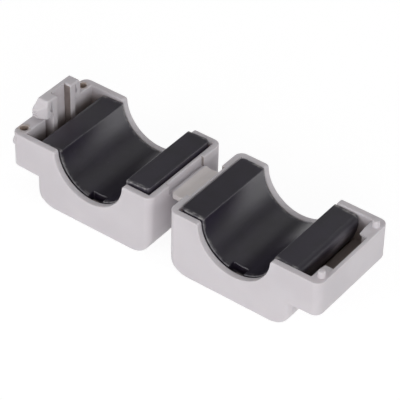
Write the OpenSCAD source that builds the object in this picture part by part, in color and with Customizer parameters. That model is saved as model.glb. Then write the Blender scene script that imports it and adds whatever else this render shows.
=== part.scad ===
// Clip-on ferrite bead for a cable, lying open like a book.
// Two moulded half shells hold a ferrite half ring each and fold about a strap
// between them. Folded shut, the latch tongue of one half snaps into the pocket
// of the other, and the two half rings close round a cable.
//
// Millimetres. +Y runs along the cable, +Z is up, and the flat undersides lie on
// z = 0. The middle of the strap is over the origin: the latch half lies at -X
// and the catch half at +X. Each half is drawn once, in a frame whose x runs
// from its hinge wall to its latch wall, and is then put in its place.

/* [Cable and ferrite] */
// Diameter of the bore for the cable
bore_d = 15; // [10:0.5:20]
// Thickness of the ferrite ring on the latch side of the bore
ring_t = 5.6; // [4.6:0.05:7]
// Thickness of the ferrite ring on the hinge side, where it is flat
side_t = 5; // [4:0.05:6.5]
// Thickness of the ferrite below the bore, down to the flat on its back
flat_t = 4.3; // [3.2:0.05:5]
// Length of the ferrite along the cable
core_l = 18.2; // [15:0.1:30]
// Radius of the shoulder along the outer pole edge
shoulder_r = 1.3; // [0.6:0.05:1.8]
// Radius of the upright corners of the ferrite
core_corner_r = 1; // [0.5:0.05:1.4]
// Width of the notch in the near end of the bore
notch_w = 3.2; // [2.6:0.1:4.5]
// How far the latch side core stands rocked while the case is open, in degrees
latch_rock = 3.5; // [0:0.1:4]
// How far the catch side core stands rocked while the case is open, in degrees
catch_rock = 1.8; // [0:0.1:4]

/* [Case] */
// Thickness of the walls
wall = 1.3; // [1:0.05:1.6]
// Thickness of the floor under the core
floor_t = 1.1; // [0.8:0.05:1.6]
// Room between the core and the latch wall
pocket_w = 4.1; // [3.9:0.05:6]
// Height of the shallow wing that the pocket is in
wing_h = 7.3; // [6.8:0.1:9]
// Radius of the upright corners
corner_r = 1.6; // [1.4:0.1:2.4]
// Radius of the long bottom edges
bottom_r = 4.5; // [2.5:0.1:5.5]

/* [Hinge] */
// Gap between the two hinge walls while the case is open
gap = 3.9; // [3:0.1:6]
// Length of the strap along the cable
strap_l = 9.8; // [6:0.1:14]
// Thickness of the strap below its hinge lines
strap_t = 0.8; // [0.5:0.05:1.1]
// Height of the strap above its hinge lines
strap_rise = 0.45; // [0.3:0.05:0.45]
// Thickness of the thin web at each hinge line
web_t = 0.3; // [0.25:0.05:0.4]

/* [Latch] */
// Height of the latch tongue above the parting plane
tongue_h = 4.7; // [4.2:0.1:5.2]
// Length of the corner blocks beside the pocket
block_l = 4.75; // [4.2:0.05:5.8]
// How far each barb stands out from its leg
barb_reach = 2.55; // [2.3:0.05:2.8]
// How far each catch tooth reaches under its barb
bite = 0.5; // [0.3:0.05:0.6]
// Diameter of the locating pegs at their root
peg_d = 1.5; // [1.3:0.05:1.9]
// Height of the locating pegs
peg_h = 1.3; // [1:0.1:2]

/* [Hidden] */
$fn = 96;
eps = 0.01;              // overlap of cutters past the faces that they cut

// Clearances
rim_gap = 0.05;          // between the two rims when shut
seat_clear = 0.15;       // round the back of a core
side_clear = 0.3;        // beside the flat hinge side of a core
hinge_clear = 0.05;      // below the bead of a hinge web
strap_end_clear = 0.15;  // past each end of the strap
peg_clear = 0.08;        // round a locating peg
latch_clear = 0.2;       // round the tongue in its pocket
end_clear = 0.2;         // past each end of a core
rock_room = 0.4;         // below the flat of a core, for it to rock

// Core
bore_r = bore_d / 2;
core_r = bore_r + ring_t;
core_side = bore_r + side_t;             // from the bore's axis to the flat hinge side
core_flat = bore_r + flat_t;             // depth of the flat below the parting plane
cradle_r = core_r + seat_clear;
shoulder_x = sqrt(core_r * core_r - shoulder_r * shoulder_r) - shoulder_r;
notch_l = 1.6;
notch_d = 1.7;                           // below the bore

// Case, built outwards from the core
wing_wall = 0.7;                         // latch wall beside the tongue
bore_x = wall + side_clear + core_side;  // from the hinge wall to the middle of the bore
body_w = bore_x + core_r - 0.7;          // deep part
half_w = bore_x + core_r + pocket_w + wing_wall;
case_l = core_l + 2 * (end_clear + wall);
half_l = case_l / 2;
half_h = floor_t + rock_room + core_flat;
inner_corner_r = max(corner_r - wall, 0.3);
inner_bottom_r = max(bottom_r - wall, 0.5);
wing_floor = half_h - wing_h;            // underside of the wing
mouth_r = bore_r + 0.2;                  // half-round mouth in each end wall
mouth_fillet = 0.6;                      // where the mouth meets the rim
rib_t = 1.1;                             // cradle ribs across the shell
rib_top = half_h - 3;                    // they stop short of the rim
rib_y = core_l / 2 - 3;
hook_w = notch_w - 1.6;                  // hook that keeps the core in
hook_l = notch_l - 0.4;
hook_t = 0.6;
hook_drop = 0.9;                         // top of the hook below the bore

// Hinge, with its axes in the planes of the hinge walls
bead_r = web_t / 2;
hinge_x = gap / 2;
hinge_z = half_h - hinge_x + rim_gap / 2; // at this depth the rims meet when shut
recess_d = 0.55;                         // into the hinge wall
recess_z = hinge_z - bead_r - hinge_clear;
strap_half_w = hinge_x - 0.25;
strap_corner_r = 0.6;
valley_half_w = 1.4;                     // shallow valley along the strap
valley_d = 0.3;

// Latch tongue, in the half's own frame
tongue_x1 = half_w - wing_wall - latch_clear;
back_t = 1.5;                            // plate that joins the two legs
leg_x0 = tongue_x1 - 2.9;
leg_t = 1.3;                             // at its root
barb_y = half_l - block_l - latch_clear;
leg_y = barb_y - barb_reach;
barb_end = rim_gap + 0.8;                // free end of a barb, above the rim
barb_nose = barb_end + 1.75;
barb_bevel_x = 1.8;                      // bevel down the barb's edge towards the core
barb_bevel_y = 0.95;
slit_top = 4.1;                          // slit between a leg and its barb, above the rim
slit_end = 2;
slit_w = 0.2;                            // left open between the barb's lip and the leg
leg_round = 0.5;
ridge = 0.18;                            // fine grooves across a barb
lead_w = 0.5;                            // taper along the tongue's outer top edge
lead_h = 1.7;

// Corner blocks, pegs and catch teeth
block_t = 2.6;                           // latch wall plus block
block_x0 = half_w - block_t;
peg_x = half_w - 1.25;
peg_y = half_l - 2.3;
peg_tip_d = peg_d - 0.2;
peg_round = 0.2 * peg_tip_d;             // round the top of a peg
latch_block_y = leg_y + 0.7;             // inner end of a corner block beside the tongue
catch_block_y = half_l - block_l;        // inner end of a corner block beside the pocket
tooth_y = barb_y - bite;
tooth_under = barb_end - rim_gap - 0.05; // underside of a tooth, below the rim
tooth_face = 0.4;
tooth_lead = 0.9;

// Grip rib on the latch wall
grip_h = 2.2;
grip_proud = 0.3;
grip_z = half_h - 2.8;
grip_l = case_l - 1.4;

// Extrudes an (x, z) profile along y, centred on y = 0
module along_y(length) {
    rotate([90, 0, 0])
        linear_extrude(height = length, center = true)
            children();
}

// Rectangle from (x0, y0) to (x1, y1)
module rect(x0, y0, x1, y1) {
    translate([x0, y0])
        square([x1 - x0, y1 - y0]);
}

// Rectangle with its two lower corners rounded
module trough_profile(x0, x1, z0, z1, r) {
    rect(x0, z0 + r, x1, z1);
    rect(x0 + r, z0, x1 - r, z1);
    for (x = [x0 + r, x1 - r])
        translate([x, z0 + r])
            circle(r);
}

// Rectangle with four rounded corners, centred on y = 0
module plan_profile(x0, x1, length, r) {
    rect(x0, -length / 2 + r, x1, length / 2 - r);
    rect(x0 + r, -length / 2, x1 - r, length / 2);
    for (x = [x0 + r, x1 - r], y = [-length / 2 + r, length / 2 - r])
        translate([x, y])
            circle(r);
}

// Quarter-round filler in the corner at the origin, towards (sx, sy)
module fillet_profile(r, sx, sy) {
    difference() {
        rect(min(0, sx * r), min(0, sy * r), max(0, sx * r), max(0, sy * r));
        translate([sx * r, sy * r])
            circle(r);
    }
}

// Outside of one half: the deep part and the wing, with rounded upright corners
module half_block() {
    intersection() {
        along_y(case_l + 2)
            trough_profile(0, body_w, 0, half_h, bottom_r);
        linear_extrude(height = half_h)
            plan_profile(0, body_w, case_l, corner_r);
    }
    translate([0, 0, wing_floor])
        linear_extrude(height = wing_h)
            plan_profile(0, half_w, case_l, corner_r);
}

// Room inside one half, open at the rim
module half_cavity() {
    inner_l = case_l - 2 * wall;
    intersection() {
        along_y(inner_l)
            union() {
                trough_profile(wall, body_w - wall, floor_t, half_h + 1, inner_bottom_r);
                rect(body_w - bottom_r, wing_floor + wall, half_w - wing_wall, half_h + 1);
            }
        translate([0, 0, -1])
            linear_extrude(height = half_h + 2)
                plan_profile(wall, half_w - wing_wall, inner_l, inner_corner_r);
    }
}

// Cradle ribs that fill the room under the core
module cradle_ribs() {
    intersection() {
        for (y = [-rib_y, 0, rib_y])
            translate([0, y, 0])
                along_y(rib_t)
                    rect(wall / 2, floor_t / 2, body_w - wall / 2, rib_top);
        half_block();
    }
}

// Seat turned for the round back of the core, and the flat below it
module core_seat() {
    inner_l = case_l - 2 * wall;
    translate([bore_x, 0, half_h])
        along_y(inner_l)
            intersection() {
                circle(cradle_r);
                rect(wall - bore_x, floor_t - half_h, cradle_r, cradle_r);
            }
}

// Half-round mouth through both end walls, with its edges rounded at the rim
module mouths() {
    along_y(case_l + 2)
        translate([bore_x, half_h])
            union() {
                circle(mouth_r);
                for (side = [-1, 1])
                    translate([side * (mouth_r - 0.03), 0])
                        mirror([0, 1])
                            fillet_profile(mouth_fillet, side, 1);
            }
}

// Small hook inside the near end wall that keeps the core in
module core_hook() {
    hook_z = half_h - bore_r - hook_drop;
    translate([bore_x, wall - half_l, 0])
        rotate([90, 0, 90])
            linear_extrude(height = hook_w, center = true)
                polygon([
                    [-wall / 2, hook_z - hook_t],
                    [hook_l - 0.3, hook_z - hook_t],
                    [hook_l, hook_z - hook_t + 0.3],
                    [0, hook_z],
                    [-wall / 2, hook_z]
                ]);
}

// Solid blocks in the two latch-end corners, from their inner end outwards
module corner_blocks(inner_y) {
    intersection() {
        for (side = [-1, 1])
            translate([block_x0, side > 0 ? inner_y : -half_l, wing_floor])
                cube([block_t, half_l - inner_y, wing_h]);
        half_block();
    }
}

// Recess in the hinge wall for the strap's thin web
module hinge_recess() {
    length = strap_l + 2 * strap_end_clear;
    translate([-eps, -length / 2, recess_z])
        cube([recess_d + eps, length, half_h]);
}

// Shell that both halves start from
module half_shell(block_y) {
    difference() {
        union() {
            difference() {
                half_block();
                half_cavity();
            }
            cradle_ribs();
            corner_blocks(block_y);
        }
        core_seat();
        mouths();
        hinge_recess();
    }
    core_hook();
}

// Side of the tongue: one leg, and the barb that hangs off its top with its
// thick end turned in towards the leg
module leg_profile() {
    leg_in = leg_y - leg_t;
    top_z = half_h + tongue_h;
    difference() {
        polygon([
            [leg_in, wing_floor + wall / 2],
            [leg_y, wing_floor + wall / 2],
            [leg_y, half_h + slit_end],
            [leg_y + slit_w, half_h + slit_top],
            [leg_y + 1.6 * slit_w, half_h + slit_top],
            [leg_y + 0.75, half_h + slit_end + slit_w],
            [leg_y + slit_w, half_h + slit_end - slit_w],
            [leg_y + slit_w, half_h + barb_end + 0.3],
            [leg_y + 0.6, half_h + barb_end],
            [barb_y - 0.15, half_h + barb_end],
            [barb_y, half_h + barb_end + 0.2],
            [barb_y, half_h + barb_nose],
            [barb_y - 0.8, half_h + barb_nose + 0.9],
            [barb_y - 1.25, top_z],
            [leg_in, top_z]
        ]);
        translate([leg_in, top_z])
            fillet_profile(leg_round, 1, -1);
        for (z = [0.45, 1.05])
            translate([barb_y - ridge, half_h + barb_end + z])
                square([1, ridge]);
    }
}

// One leg of the tongue with its barb, bevelled down the edge towards the core
module tongue_leg() {
    difference() {
        translate([leg_x0, 0, 0])
            rotate([90, 0, 90])
                linear_extrude(height = tongue_x1 - leg_x0)
                    leg_profile();
        translate([leg_x0, barb_y, half_h])
            linear_extrude(height = tongue_h + 1)
                polygon([
                    [-1, 1],
                    [-1, -barb_bevel_y],
                    [0, -barb_bevel_y],
                    [barb_bevel_x, 0],
                    [barb_bevel_x, 1]
                ]);
    }
}

// Latch tongue: two legs and a back plate, with a barb on the outside of each leg
module latch_tongue() {
    difference() {
        union() {
            for (side = [0, 1])
                mirror([0, side, 0])
                    tongue_leg();
            translate([tongue_x1 - back_t, -leg_y + leg_t / 2, wing_floor + wall / 2])
                cube([back_t, 2 * leg_y - leg_t, half_h - wing_floor - wall / 2 + tongue_h]);
        }
        // lead-in along the outer top edge
        translate([tongue_x1, 0, half_h + tongue_h])
            along_y(2 * barb_y)
                polygon([[-lead_w, eps], [eps, eps], [eps, -lead_h], [0, -lead_h], [-lead_w, 0]]);
    }
    // the legs are moulded to the latch wall below the rim
    translate([tongue_x1 - eps, -leg_y, wing_floor + wall / 2])
        cube([half_w - wing_wall / 2 - tongue_x1 + eps, 2 * leg_y, wing_h - wall / 2]);
}

// Peg or its hole, slightly tapered and with a rounded top, standing on z = 0
module peg_shape(extra_d, height) {
    root_r = (peg_d + extra_d) / 2;
    tip_r = (peg_tip_d + extra_d) / 2;
    rotate_extrude()
        union() {
            polygon([
                [0, 0],
                [root_r, 0],
                [tip_r, height - peg_round],
                [tip_r - peg_round, height],
                [0, height]
            ]);
            translate([tip_r - peg_round, height - peg_round])
                circle(peg_round);
        }
}

// Raised bar with round ends on the latch wall, for the thumb
module grip_rib() {
    translate([half_w - wall / 2, 0, grip_z])
        rotate([90, 0, 90])
            linear_extrude(height = wall / 2 + grip_proud)
                union() {
                    square([grip_l - grip_h, grip_h], center = true);
                    for (side = [-1, 1])
                        translate([side * (grip_l - grip_h) / 2, 0])
                            circle(d = grip_h);
                }
}

// Catch tooth at the inner end of a corner block, under the rim
module catch_tooth() {
    translate([block_x0, 0, half_h])
        rotate([90, 0, 90])
            linear_extrude(height = block_t - wing_wall / 2)
                polygon([
                    [catch_block_y + tooth_lead, -eps],
                    [tooth_y, tooth_face - tooth_under],
                    [tooth_y, -tooth_under],
                    [catch_block_y + tooth_lead, -tooth_under]
                ]);
}

module latch_shell() {
    color([0.80, 0.78, 0.79])
        mirror([1, 0, 0])
            translate([gap / 2, 0, 0]) {
                difference() {
                    half_shell(latch_block_y);
                    for (side = [-1, 1])
                        translate([peg_x, side * peg_y, half_h + rim_gap])
                            rotate([180, 0, 0])
                                peg_shape(2 * peg_clear, peg_h + 0.2);
                }
                latch_tongue();
                grip_rib();
            }
}

module catch_shell() {
    color([0.80, 0.78, 0.79])
        translate([gap / 2, 0, 0]) {
            difference() {
                half_shell(catch_block_y);
                // lead-in over each tooth
                for (side = [0, 1])
                    mirror([0, side, 0])
                        translate([block_x0 - eps, 0, half_h])
                            rotate([90, 0, 90])
                                linear_extrude(height = block_t - wing_wall)
                                    polygon([
                                        [catch_block_y - eps, eps],
                                        [catch_block_y + tooth_lead, eps],
                                        [catch_block_y - eps, tooth_face - tooth_under]
                                    ]);
            }
            for (side = [0, 1])
                mirror([0, side, 0])
                    catch_tooth();
            for (side = [-1, 1])
                translate([peg_x, side * peg_y, half_h - eps])
                    peg_shape(0, peg_h);
        }
}

module hinge_strap() {
    strap_top = hinge_z + strap_rise;
    color([0.78, 0.77, 0.76]) {
        difference() {
            translate([0, 0, hinge_z - strap_t])
                linear_extrude(height = strap_t + strap_rise)
                    plan_profile(-strap_half_w, strap_half_w, strap_l, strap_corner_r);
            along_y(strap_l + 1)
                polygon([
                    [-valley_half_w, strap_top + eps],
                    [0, strap_top - valley_d],
                    [valley_half_w, strap_top + eps]
                ]);
        }
        // thin webs with a bead along each edge
        along_y(strap_l - 2 * strap_corner_r)
            union() {
                rect(-hinge_x, hinge_z - bead_r, hinge_x, hinge_z + bead_r);
                for (side = [-1, 1])
                    translate([side * hinge_x, hinge_z])
                        circle(bead_r);
            }
    }
}

// Ferrite half ring, its pole faces on z = 0 and its bore along y
module half_ring() {
    difference() {
        intersection() {
            along_y(core_l)
                difference() {
                    circle(core_r);
                    circle(bore_r);
                    // shoulder along the outer pole edge
                    difference() {
                        rect(shoulder_x, -shoulder_r, core_r + 1, 1);
                        translate([shoulder_x, -shoulder_r])
                            circle(shoulder_r);
                    }
                }
            translate([0, 0, -core_flat])
                linear_extrude(height = core_flat)
                    plan_profile(-core_side, core_r + eps, core_l, core_corner_r);
        }
        translate([-notch_w / 2, -core_l / 2 - 1, -bore_r - notch_d])
            cube([notch_w, notch_l + 1, bore_r]);
    }
}

module latch_side_core() {
    color([0.18, 0.17, 0.20])
        mirror([1, 0, 0])
            translate([gap / 2 + bore_x, 0, half_h])
                rotate([0, latch_rock, 0])
                    half_ring();
}

module catch_side_core() {
    color([0.18, 0.17, 0.20])
        translate([gap / 2 + bore_x, 0, half_h])
            rotate([0, catch_rock, 0])
                half_ring();
}

latch_shell();
catch_shell();
hinge_strap();
latch_side_core();
catch_side_core();
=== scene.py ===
# Clip-on ferrite bead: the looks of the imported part.
import math

import bmesh
import bpy
from mathutils import Matrix, Vector
from mathutils.geometry import intersect_point_line


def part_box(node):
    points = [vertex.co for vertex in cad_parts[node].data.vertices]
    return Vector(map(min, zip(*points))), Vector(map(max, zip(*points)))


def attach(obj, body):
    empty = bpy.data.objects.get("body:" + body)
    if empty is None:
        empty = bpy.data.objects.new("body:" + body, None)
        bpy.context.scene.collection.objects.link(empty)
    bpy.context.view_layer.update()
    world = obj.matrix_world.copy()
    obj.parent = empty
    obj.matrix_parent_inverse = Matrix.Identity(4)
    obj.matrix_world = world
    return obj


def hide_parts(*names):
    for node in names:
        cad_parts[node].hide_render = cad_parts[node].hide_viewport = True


MM = 0.001

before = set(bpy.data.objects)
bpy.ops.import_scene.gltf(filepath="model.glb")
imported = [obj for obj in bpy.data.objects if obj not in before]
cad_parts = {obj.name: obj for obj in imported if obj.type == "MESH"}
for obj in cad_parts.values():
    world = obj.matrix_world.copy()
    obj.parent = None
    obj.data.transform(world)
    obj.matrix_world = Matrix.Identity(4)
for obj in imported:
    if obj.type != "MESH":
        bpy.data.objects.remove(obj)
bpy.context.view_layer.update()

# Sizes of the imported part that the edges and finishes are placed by. x runs across both halves,
# y along the cable and z up, from under the middle of the strap.
RIM_Z = 13.3 * MM                # parting plane of both halves
BORE_X = 16.05 * MM              # middle of each bore, either side of the strap
BORE_R = 7.5 * MM
RING_END = 9.1 * MM              # half the length of a half ring
POLE_EDGE = 12.5 * MM            # hinge-side edge of a pole face, from the middle of the bore
SHOULDER_EDGE = 11.8 * MM        # latch-side edge of a pole face, where its round shoulder begins
HALF_REACH = 33.95 * MM          # outer wall of each half
HALF_LENGTH = 10.6 * MM
WALL = 1.3 * MM
HINGE_FACE = 1.95 * MM           # the wall beside the strap begins here, outside,
HINGE_WALL = 3.2 * MM            # and ends here, inside
WING_Z = 6.0 * MM                # underside of the wing along the latch wall
BODY_X = 15.2 * MM               # middle of each half's deep part,
BODY_REACH = 13.25 * MM          # its half width,
BOTTOM_R = 4.5 * MM              # and the round of its lower corners
PEG_HOLE_X = 32.7 * MM
PEG_HOLE_Y = 8.3 * MM
PEG_HOLE_R = 0.83 * MM
LEG_SIDE = 1.8 * MM              # inner side of each leg of the tongue
LEG_NEAR = 30.15 * MM            # a leg stands free from here
LEG_FAR = 31.55 * MM             # to here
LEG_TOP = 4 * MM                 # above the rim, where a leg's back edge is left sharp
RECESS_END = 5.05 * MM           # the recess for the strap in that wall reaches this far in y,
RECESS_X = 2.5 * MM              # is cut back to here in x,
RECESS_Z = 11.175 * MM           # and is open from here up

# How wide edges are rounded
CASE_EDGE = 0.28 * MM
WING_EDGE = 0.5 * MM             # under the wing
FINE_EDGE = 0.06 * MM            # round a peg's hole, and on the strap
RING_EDGE = 0.4 * MM
POLE_END_EDGE = 0.7 * MM         # along the ends of the pole faces
INNER_CORNER = 0.28 * MM         # the most in an inside corner
WIDEST = 0.8 * MM                # what a bevel weight of 1 stands for
LEAST_WIDTH = 0.035 * MM         # where there is room for no more than this, an edge stays sharp
SHARE = 0.4                      # of the room beside an edge that its rounding may take
SEGMENTS = 3

# Points closer than this are joined after rounding. The catch half's mesh comes open from 0.028 mm.
LATCH_JOIN = 0.035 * MM
CATCH_JOIN = 0.025 * MM
FINE_JOIN = 0.002 * MM

SHARP = math.radians(28)         # edges that turn more than this are rounded
SMOOTH = math.radians(32)        # and those that turn less than this are shaded smooth
FOLDED = math.radians(138)       # faces that turn back more than this lie folded over
STRAIGHT = -0.7                  # two edges run on into each other below this dot product
SIDEWAYS = 0.9                   # and one leads away from the other below this

# Base colours. Where there are two, noise goes from one to the other.
NYLON = (0.655, 0.618, 0.647, 1), (0.690, 0.654, 0.682, 1)
NYLON_PAINTED_SHADE = (0.33, 0.265, 0.24, 1)
NYLON_PAINTED_LIGHT = (0.83, 0.775, 0.755, 1)
HOLE_RIM = (0.46, 0.375, 0.32, 1)
HOLE_SHADE = (0.40, 0.33, 0.29, 1)
LEG_SHADE = (0.27, 0.225, 0.215, 1)
RECESS_SHADE = (0.25, 0.215, 0.195, 1)
FERRITE = (0.0090, 0.0055, 0.0150, 1), (0.0150, 0.0098, 0.0250, 1)
FERRITE_END_PAINTED_LIGHT = (0.125, 0.115, 0.135, 1)
FERRITE_PAINTED_HIGHLIGHT = (0.34, 0.32, 0.36, 1)
FERRITE_WEAR_AND_GLINT = (0.26, 0.25, 0.25, 1)


# ---------------------------------------------------------------- shaping

def pick(obj):
    """Makes obj the only selected object, and the active one."""
    bpy.ops.object.select_all(action="DESELECT")
    obj.select_set(True)
    bpy.context.view_layer.objects.active = obj


def apply(obj, kind, **settings):
    """Adds a modifier with these settings and applies it."""
    pick(obj)
    mod = obj.modifiers.new(kind.lower(), kind)
    for key, value in settings.items():
        setattr(mod, key, value)
    bpy.ops.object.modifier_apply(modifier=mod.name)


def welded_copy(node, name):
    """A copy of a CAD node with its loose triangles joined and its flat faces made whole."""
    obj = bpy.data.objects.new(name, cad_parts[node].data.copy())
    bpy.context.collection.objects.link(obj)
    pick(obj)
    bpy.ops.mesh.customdata_custom_splitnormals_clear()
    bpy.ops.object.mode_set(mode="EDIT")
    bpy.ops.mesh.select_all(action="SELECT")
    bpy.ops.mesh.remove_doubles(threshold=1e-6)
    bpy.ops.mesh.dissolve_limited(angle_limit=math.radians(0.5))
    bpy.ops.object.mode_set(mode="OBJECT")
    return obj


def run_of(edge, owner):
    """The edge that stands for the whole run that this edge is part of."""
    while owner[edge] != edge:
        edge = owner[edge]
    return edge


def runs_of(mesh, sharp):
    """Each sharp edge's owner: edges that run on into each other end at the same one."""
    owner = {e: e for e in sharp}
    for vert in mesh.verts:
        pair = [e for e in vert.link_edges if e in owner]
        if len(pair) == 2:
            first, second = ((e.other_vert(vert).co - vert.co).normalized() for e in pair)
            if first.dot(second) < STRAIGHT:
                owner[run_of(pair[0], owner)] = run_of(pair[1], owner)
    return owner


def room_beside(edge, owner):
    """The distance from an edge to the nearest edge of its faces that isn't in its own run."""
    room = math.inf
    start, end = (vert.co for vert in edge.verts)
    for vert in edge.verts:
        along = (edge.other_vert(vert).co - vert.co).normalized()
        for side in vert.link_edges:
            across = (side.other_vert(vert).co - vert.co).normalized()
            if abs(along.dot(across)) < SIDEWAYS:
                room = min(room, side.calc_length())
    own_run = run_of(edge, owner)
    for other in {e for face in edge.link_faces for e in face.edges}:
        meets = set(other.verts) & set(edge.verts)
        if meets or (other in owner and run_of(other, owner) == own_run):
            continue
        for part in (0.25, 0.5, 0.75):
            spot = start.lerp(end, part)
            _, reach = intersect_point_line(spot, other.verts[0].co, other.verts[1].co)
            nearest = other.verts[0].co.lerp(other.verts[1].co, min(max(reach, 0), 1))
            room = min(room, (spot - nearest).length)
    return room


def mark_edges(obj, width_at):
    """Gives each sharp edge its share of the widest rounding, so that none cuts past its faces.
    width_at says how wide the rounding may be at a place."""
    mesh = bmesh.new()
    mesh.from_mesh(obj.data)
    weight = mesh.edges.layers.float.new("bevel_weight_edge")
    sharp = [e for e in mesh.edges if len(e.link_faces) == 2 and e.calc_face_angle() > SHARP]
    owner = runs_of(mesh, sharp)
    room, runs = {}, {}
    for edge in sharp:
        middle = (edge.verts[0].co + edge.verts[1].co) / 2
        room[edge] = min(width_at(*middle) / SHARE, room_beside(edge, owner))
        if not edge.is_convex:
            room[edge] = min(room[edge], INNER_CORNER / SHARE)
        runs.setdefault(run_of(edge, owner), []).append(edge)
    for edges in runs.values():
        width = SHARE * min(room[e] for e in edges)
        for edge in edges:
            edge[weight] = width / WIDEST if width > LEAST_WIDTH else 0
    mesh.to_mesh(obj.data)
    mesh.free()


def unfold(obj, join):
    """Joins points this close, and the slivers that fold over each other where roundings meet."""
    folded = True
    while folded:
        mesh = bmesh.new()
        mesh.from_mesh(obj.data)
        bmesh.ops.remove_doubles(mesh, verts=mesh.verts[:], dist=join)
        bmesh.ops.dissolve_degenerate(mesh, dist=FINE_JOIN, edges=mesh.edges[:])
        folded = [e for e in mesh.edges if len(e.link_faces) == 2 and e.calc_face_angle() > FOLDED]
        bmesh.ops.dissolve_edges(mesh, edges=folded, use_verts=True)
        mesh.to_mesh(obj.data)
        mesh.free()


def round_edges(obj, node, width_at, join):
    """Rounds the sharp edges, as wide as width_at says, inside the node's own box."""
    mark_edges(obj, width_at)
    apply(obj, "BEVEL", width=WIDEST, segments=SEGMENTS, limit_method="WEIGHT",
          use_clamp_overlap=False, loop_slide=False)
    low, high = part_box(node)
    for vert in obj.data.vertices:
        vert.co = [min(max(c, a), b) for c, a, b in zip(vert.co, low, high)]
    unfold(obj, join)
    bpy.ops.object.shade_smooth_by_angle(angle=SMOOTH)
    apply(obj, "WEIGHTED_NORMAL", keep_sharp=True)


def moulded_edge(x, y, z):
    """How wide a moulded edge is rounded: more under the wing, less round a peg's hole, and not
    at all at the back of a leg's top."""
    if math.hypot(x + PEG_HOLE_X, abs(y) - PEG_HOLE_Y) < 1.2 * PEG_HOLE_R:
        return FINE_EDGE
    if abs(x + LEG_FAR) < 0.05 * MM and abs(y) < LEG_SIDE and z > RIM_Z + LEG_TOP:
        return 0
    if abs(z - WING_Z) < 0.1 * MM and abs(x) > BORE_X + POLE_EDGE:
        return WING_EDGE
    return CASE_EDGE


def strap_edge(x, y, z):
    """How wide an edge of the strap is rounded, the same everywhere."""
    return FINE_EDGE


def pressed_edge(x, y, z):
    """How wide an edge of a half ring is rounded: more along the ends of its pole faces."""
    pole_end = abs(y) > RING_END - 0.05 * MM and z > RIM_Z - 1.2 * MM
    return POLE_END_EDGE if pole_end else RING_EDGE


# ---------------------------------------------------------------- nodes

class Value:
    """A socket in a node tree, for sums written as Python."""

    def __init__(self, nodes, socket):
        self.nodes, self.socket = nodes, socket

    def _math(self, op, a, b=0.0):
        return self.nodes.node("ShaderNodeMath", {"operation": op}, {0: a, 1: b})

    def __add__(self, other): return self._math("ADD", self, other)
    def __radd__(self, other): return self._math("ADD", other, self)
    def __sub__(self, other): return self._math("SUBTRACT", self, other)
    def __rsub__(self, other): return self._math("SUBTRACT", other, self)
    def __mul__(self, other): return self._math("MULTIPLY", self, other)
    def __rmul__(self, other): return self._math("MULTIPLY", other, self)
    def __neg__(self): return self._math("MULTIPLY", self, -1)
    def __abs__(self): return self._math("ABSOLUTE", self)
    def __pow__(self, other): return self._math("POWER", self, other)

    def most(self, other):
        """The larger of the two."""
        return self._math("MAXIMUM", self, other)

    def rise(self, start, full):
        """0 on start's side, 1 past full, and smooth between. Either may be the higher."""
        return self.nodes.node("ShaderNodeMapRange", {"interpolation_type": "SMOOTHSTEP"},
                               {"Value": self, "From Min": start, "From Max": full})

    def near(self, middle, reach):
        """1 at this value, falling to 0 at this distance from it."""
        return 1 - abs(self - middle).rise(0, reach)


class Nodes:
    """A node tree that takes its nodes from one method."""

    def __init__(self, tree):
        self.tree = tree

    def node(self, kind, settings=None, inputs=None, out=0):
        """Adds a node, makes its settings, then sets or links its inputs."""
        new = self.tree.nodes.new(kind)
        for key, value in (settings or {}).items():
            setattr(new, key, value)
        for key, value in (inputs or {}).items():
            if isinstance(value, Value):
                self.tree.links.new(value.socket, new.inputs[key])
            else:
                new.inputs[key].default_value = value
        return Value(self, new.outputs[out])

    def ray(self, kind):
        """1 on a ray of this kind, else 0."""
        return self.node("ShaderNodeLightPath", out="Is %s Ray" % kind)


class Finish(Nodes):
    """A material built from nodes, placed by Object coordinates."""

    def __init__(self, name, **shader):
        self.material = bpy.data.materials.new(name)
        self.material.use_nodes = True
        super().__init__(self.material.node_tree)
        self.shader = self.tree.nodes["Principled BSDF"]
        for socket, value in shader.items():
            self.shader.inputs[socket.replace("_", " ")].default_value = value
        self.place = self.node("ShaderNodeTexCoord", out="Object")

    def feed(self, **sockets):
        """Links values to the shader's sockets of these names."""
        for socket, value in sockets.items():
            self.tree.links.new(value.socket, self.shader.inputs[socket.replace("_", " ")])

    def axes(self):
        """The x, y and z of the place, in metres."""
        split = self.node("ShaderNodeSeparateXYZ", None, {"Vector": self.place}).socket.node
        return [Value(self, socket) for socket in split.outputs]

    def noise(self, scale, detail=2.0, stretch=None):
        """Noise from 0 to 1 with this many features to the metre, drawn out where stretch is
        below 1."""
        where = self.place
        if stretch:
            where = self.node("ShaderNodeMapping", None, {"Vector": where, "Scale": stretch})
        return self.node("ShaderNodeTexNoise", None,
                         {"Vector": where, "Scale": scale, "Detail": detail})

    def mix(self, factor, a, b):
        """Colour a where factor is 0, and b where it is 1."""
        return self.node("ShaderNodeMix", {"data_type": "RGBA"}, {0: factor, 6: a, 7: b}, 2)

    def bump(self, height, strength, distance):
        return self.node("ShaderNodeBump", None,
                         {"Height": height, "Strength": strength, "Distance": distance})


# ---------------------------------------------------------------- finishes

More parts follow.
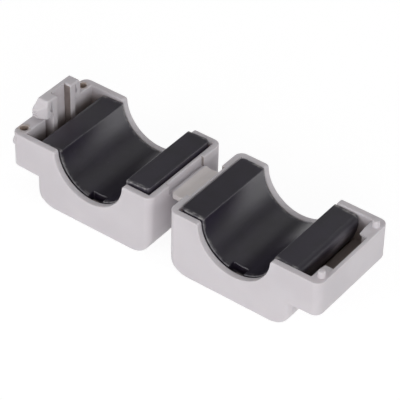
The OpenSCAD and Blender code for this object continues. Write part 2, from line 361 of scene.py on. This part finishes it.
def painted_shade_inside(x, y, z):
    """Where shade is painted: 1 inside a half's walls and under its rim, and 0 on its outside."""
    end_wall = abs(y).rise(HALF_LENGTH - 0.94 * WALL, HALF_LENGTH - 0.99 * WALL)
    hinge_wall = abs(x).rise(HINGE_WALL, HINGE_WALL + 0.4 * MM)
    latch_wall = 1 - abs(x).rise(HALF_REACH - 0.5 * MM, HALF_REACH - 0.3 * MM)
    past_x = (abs(abs(x) - BODY_X) - (BODY_REACH - BOTTOM_R)).most(0)
    past_z = (BOTTOM_R - z).most(0)
    skin = BOTTOM_R - (past_x * past_x + past_z * past_z) ** 0.5
    in_body = skin.rise(0.3 * WALL, 0.5 * WALL)
    in_wing = z.rise(WING_Z + 0.3 * WALL, WING_Z + 0.6 * WALL)
    depth = z.rise(RIM_Z - 0.3 * MM, RIM_Z - 5 * MM)
    return end_wall * hinge_wall * latch_wall * in_body.most(in_wing) * depth


def shade_small_places(fin, colour, x, y, z):
    """Paints shade into the peg holes, onto the inner faces of the tongue's legs and into the ends
    of the recess for the strap, and darkens the rim round the peg holes in brownish patches."""
    off_x, off_y = x + PEG_HOLE_X, abs(y) - PEG_HOLE_Y
    off = (off_x * off_x + off_y * off_y) ** 0.5
    on_rim = z.rise(RIM_Z - 0.15 * MM, RIM_Z - 0.05 * MM)
    around = (1 - off.rise(PEG_HOLE_R, 2 * PEG_HOLE_R)) * on_rim
    colour = fin.mix(around * fin.noise(1300).rise(0.3, 0.6) * 0.75, colour, HOLE_RIM)
    # Painted shade inside the peg holes
    in_hole = (1 - off.rise(PEG_HOLE_R, 1.15 * PEG_HOLE_R)) * (1 - on_rim)
    colour = fin.mix(in_hole, colour, HOLE_SHADE)
    leg = abs(y).near(LEG_SIDE, 0.1 * MM) * (-x).rise(LEG_NEAR, LEG_NEAR + 0.2 * MM) \
        * (1 - (-x).rise(LEG_FAR, LEG_FAR + 0.1 * MM))
    colour = fin.mix(leg.rise(0, 0.4), colour, LEG_SHADE)
    recess = abs(y).near(RECESS_END, 0.12 * MM) * z.rise(RECESS_Z - 0.1 * MM, RECESS_Z) \
        * abs(x).rise(HINGE_FACE + 0.03 * MM, HINGE_FACE + 0.1 * MM) \
        * (1 - abs(x).rise(RECESS_X, RECESS_X + 0.1 * MM))
    return fin.mix(recess.rise(0, 0.4) * 0.8, colour, RECESS_SHADE)


def moulded_nylon(name, is_strap=False):
    """Light grey nylon with a fine spark-eroded texture, painted shade inside the halves and in
    small places, and painted light that makes the strap paler.
    """
    fin = Finish(name, IOR=1.5, Subsurface_Weight=0.35, Subsurface_Scale=0.002)
    fin.shader.inputs["Subsurface Radius"].default_value = (1.0, 0.9, 0.85)
    x, y, z = fin.axes()
    colour = fin.mix(fin.noise(110).rise(0.35, 0.65), *NYLON)
    # Painted shade: darker and browner inside the halves, the deeper the more
    colour = fin.mix(painted_shade_inside(x, y, z) * 0.9, colour, NYLON_PAINTED_SHADE)
    if is_strap:
        # Painted light: paler on all but a strip along the latch half's edge
        painted_light = x.rise(-1.45 * MM, -1.2 * MM) * (0.75 + 0.25 * fin.noise(900))
        colour = fin.mix(painted_light, colour, NYLON_PAINTED_LIGHT)
    else:
        colour = shade_small_places(fin, colour, x, y, z)
    grain = fin.noise(7000) + 0.6 * fin.noise(2600)
    fin.feed(Base_Color=colour, Roughness=0.44 + 0.12 * fin.noise(1500),
             Normal=fin.bump(grain, 0.22, 0.02 * MM))
    return fin.material


def sintered_ferrite(name, side, tilt):
    """Black pressed ferrite with ground pole faces, worn edges painted paler as glints, and painted
    highlights. The half ring is on this side of the strap, and its hinge side stands up by this
    many degrees."""
    fin = Finish(name, IOR=1.9)
    x, y, z = fin.axes()
    turn = math.radians(tilt)
    hingeward = (x - side * BORE_X) * (-side)
    rise = z - RIM_Z
    across = hingeward * math.cos(turn) + rise * math.sin(turn)
    height = rise * math.cos(turn) - hingeward * math.sin(turn)
    radius = (across * across + height * height) ** 0.5
    end = abs(y).rise(RING_END - 0.75 * MM, RING_END - 0.3 * MM)
    top = height.rise(-0.5 * MM, -0.15 * MM)
    colour = fin.mix(fin.noise(260, 3).rise(0.3, 0.7), *FERRITE)
    # Painted light: paler along the ends of the pole faces
    colour = fin.mix(end * top * 0.3, colour, FERRITE_END_PAINTED_LIGHT)

    # A painted highlight: a paler patch on the shoulder beside the latch wall
    painted_highlight = (-across).rise(SHOULDER_EDGE + 0.2 * MM, SHOULDER_EDGE + 0.7 * MM) \
        * y.near(3.4 * MM, 4.6 * MM) * height.near(-1.9 * MM, 2 * MM)
    colour = fin.mix(painted_highlight * (0.6 + 0.4 * fin.noise(900)), colour, FERRITE_PAINTED_HIGHLIGHT)

    # Chips along the ends and, fainter, the pole faces' edges, painted paler to stand in for glints
    # on them too, and a few specks anywhere
    bore_lip = 1 - radius.rise(BORE_R + 0.1 * MM, BORE_R + 0.5 * MM)
    pole_rim = abs(across).near(BORE_R, 0.25 * MM).most(across.near(POLE_EDGE, 0.3 * MM)) \
        .most(across.near(-SHOULDER_EDGE, 0.12 * MM))
    patches = fin.noise(1100, 4).rise(0.42, 0.66)
    chips_and_glints = (end * top.most(0.5 * bore_lip)).most(top * pole_rim * 0.12) * patches
    speck = fin.noise(1500, 0).rise(0.905, 0.92)
    colour = fin.mix(chips_and_glints.most(0.6 * speck), colour, FERRITE_WEAR_AND_GLINT)

    ground = fin.noise(5200, 2, (1, 0.04, 1)) * top
    grain = fin.noise(4200, 3) + 0.5 * ground + 1.2 * chips_and_glints * fin.noise(2400)
    fin.feed(Base_Color=colour, Roughness=0.34 + 0.14 * fin.noise(1700, 3) + 0.1 * chips_and_glints,
             Normal=fin.bump(grain, 0.3, 0.03 * MM))
    return fin.material


def dress(obj, material):
    """Gives an object this material and no other."""
    obj.data.materials.clear()
    obj.data.materials.append(material)


# ---------------------------------------------------------------- the pieces

case_nylon = moulded_nylon("moulded_nylon")
strap_nylon_painted_light = moulded_nylon("strap_nylon_painted_light", is_strap=True)
latch_ferrite = sintered_ferrite("latch_side_ferrite", -1, 3.5)
catch_ferrite = sintered_ferrite("catch_side_ferrite", 1, 1.8)

for node, name, body, slot, width_at, join, material in (
        ("latch_shell", "latch_half_case", "latch_half", "case_plastic",
         moulded_edge, LATCH_JOIN, case_nylon),
        ("catch_shell", "catch_half_case", "catch_half", "case_plastic",
         moulded_edge, CATCH_JOIN, case_nylon),
        ("hinge_strap", "moulded_strap", "strap", "case_plastic",
         strap_edge, FINE_JOIN, strap_nylon_painted_light),
        ("latch_side_core", "latch_side_half_ring", "latch_core", "ferrite",
         pressed_edge, FINE_JOIN, latch_ferrite),
        ("catch_side_core", "catch_side_half_ring", "catch_core", "ferrite",
         pressed_edge, FINE_JOIN, catch_ferrite)):
    piece = welded_copy(node, name)
    round_edges(piece, node, width_at, join)
    dress(piece, material)
    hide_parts(node)
    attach(piece, body)


# ---------------------------------------------------------------- stage, light and camera

FLOOR_SIZE = 3
FLOOR_Z = -0.1 * MM
FLOOR_WHITE = 1.13               # what the floor gives off, for rays from the camera
FLOOR_SHARE = 0.8                # of what the camera sees of it; the rest is lit and shadowed
SKY = 0.17                       # strength of the world's light on the part
CEILING = 0.05                   # of the world above the part, as mirrored in it
BACKDROP_TOP, CEILING_FOOT = 0.1, 0.32   # where they meet in reflections, as sines of elevation

bpy.ops.object.select_all(action="DESELECT")
bpy.ops.mesh.primitive_plane_add(size=FLOOR_SIZE, location=(0, 0, FLOOR_Z))
floor = bpy.context.object
floor.name = "studio_floor"
pale = Finish("pale_floor", Roughness=0.9, Base_Color=(0.9, 0.9, 0.9, 1))
white = pale.node("ShaderNodeEmission", None,
                  {"Strength": 1 + (FLOOR_WHITE - 1) * pale.ray("Camera")})
both = pale.node("ShaderNodeMixShader", None, {
    0: FLOOR_SHARE * pale.ray("Camera") + pale.ray("Glossy") + pale.ray("Transmission"),
    1: Value(pale, pale.shader.outputs[0]), 2: white})
pale.tree.links.new(both.socket, pale.tree.nodes["Material Output"].inputs["Surface"])
dress(floor, pale.material)

bpy.context.scene.world = bpy.data.worlds.new("studio")
bpy.context.scene.world.use_nodes = True
studio = Nodes(bpy.context.scene.world.node_tree)
sky = studio.tree.nodes["Background"]
sky.inputs["Color"].default_value = (1, 1, 1, 1)
straight = studio.ray("Camera")
mirrored = studio.ray("Glossy") + studio.ray("Transmission")
direction = studio.node("ShaderNodeTexCoord", out="Generated")
lift = studio.node("ShaderNodeSeparateXYZ", None, {"Vector": direction}, "Z")
shown = 1 - (1 - CEILING) * lift.rise(BACKDROP_TOP, CEILING_FOOT)
strength = SKY * (1 - straight - mirrored) + straight + shown * mirrored
studio.tree.links.new(strength.socket, sky.inputs["Strength"])

LAMP_DISTANCE = 0.6
LAMP_SIZE = 0.45
LAMP_AIM = Vector((0, 0, 0.01))


def way_to(azimuth, elevation):
    """The direction from the part at these angles, in degrees, from the front and the floor."""
    a, e = math.radians(azimuth), math.radians(elevation)
    return Vector((math.sin(a) * math.cos(e), -math.cos(a) * math.cos(e), math.sin(e)))


def soft_box(name, azimuth, elevation, power):
    """A square lamp that shines on the part from this side, with this power in watts."""
    away = way_to(azimuth, elevation)
    lamp = bpy.data.lights.new(name, "AREA")
    lamp.shape, lamp.size, lamp.energy = "SQUARE", LAMP_SIZE, power
    obj = bpy.data.objects.new(name, lamp)
    bpy.context.collection.objects.link(obj)
    obj.location = LAMP_AIM + away * LAMP_DISTANCE
    obj.rotation_mode = "QUATERNION"
    obj.rotation_quaternion = (-away).to_track_quat("-Z", "Y")


soft_box("front_left", -25, 16, 1.45)
soft_box("front_right", 42, 16, 1.55)
soft_box("right", 100, 16, 0.85)
soft_box("overhead", 0, 85, 0.3)
soft_box("back", 180, 30, 0.4)
soft_box("back_left", -115, 12, 0.3)

AZIMUTH, ELEVATION, ROLL = 36.08, 39.61, 1.42
LENS = 194.0634
CAMERA_RIGHT = 0.759 * MM        # from the middle of the part's rims, as the camera sees it
CAMERA_UP = -4.321 * MM
CAMERA_BACK = 381.41 * MM
back_way = way_to(AZIMUTH, ELEVATION)
azimuth, roll = math.radians(AZIMUTH), math.radians(ROLL)
level_right = Vector((math.cos(azimuth), math.sin(azimuth), 0))
level_up = back_way.cross(level_right)
right = level_right * math.cos(roll) + level_up * math.sin(roll)
up = level_up * math.cos(roll) - level_right * math.sin(roll)
lens = bpy.data.cameras.new("camera")
lens.lens = LENS
lens.clip_start, lens.clip_end = 0.01, 10
camera = bpy.data.objects.new("camera", lens)
bpy.context.collection.objects.link(camera)
eye = Vector((0, 0, RIM_Z)) + right * CAMERA_RIGHT + up * CAMERA_UP + back_way * CAMERA_BACK
camera.matrix_world = Matrix.Translation(eye) @ Matrix((right, up, back_way)).transposed().to_4x4()
bpy.context.scene.camera = camera
bpy.context.scene.view_settings.view_transform = "Standard"
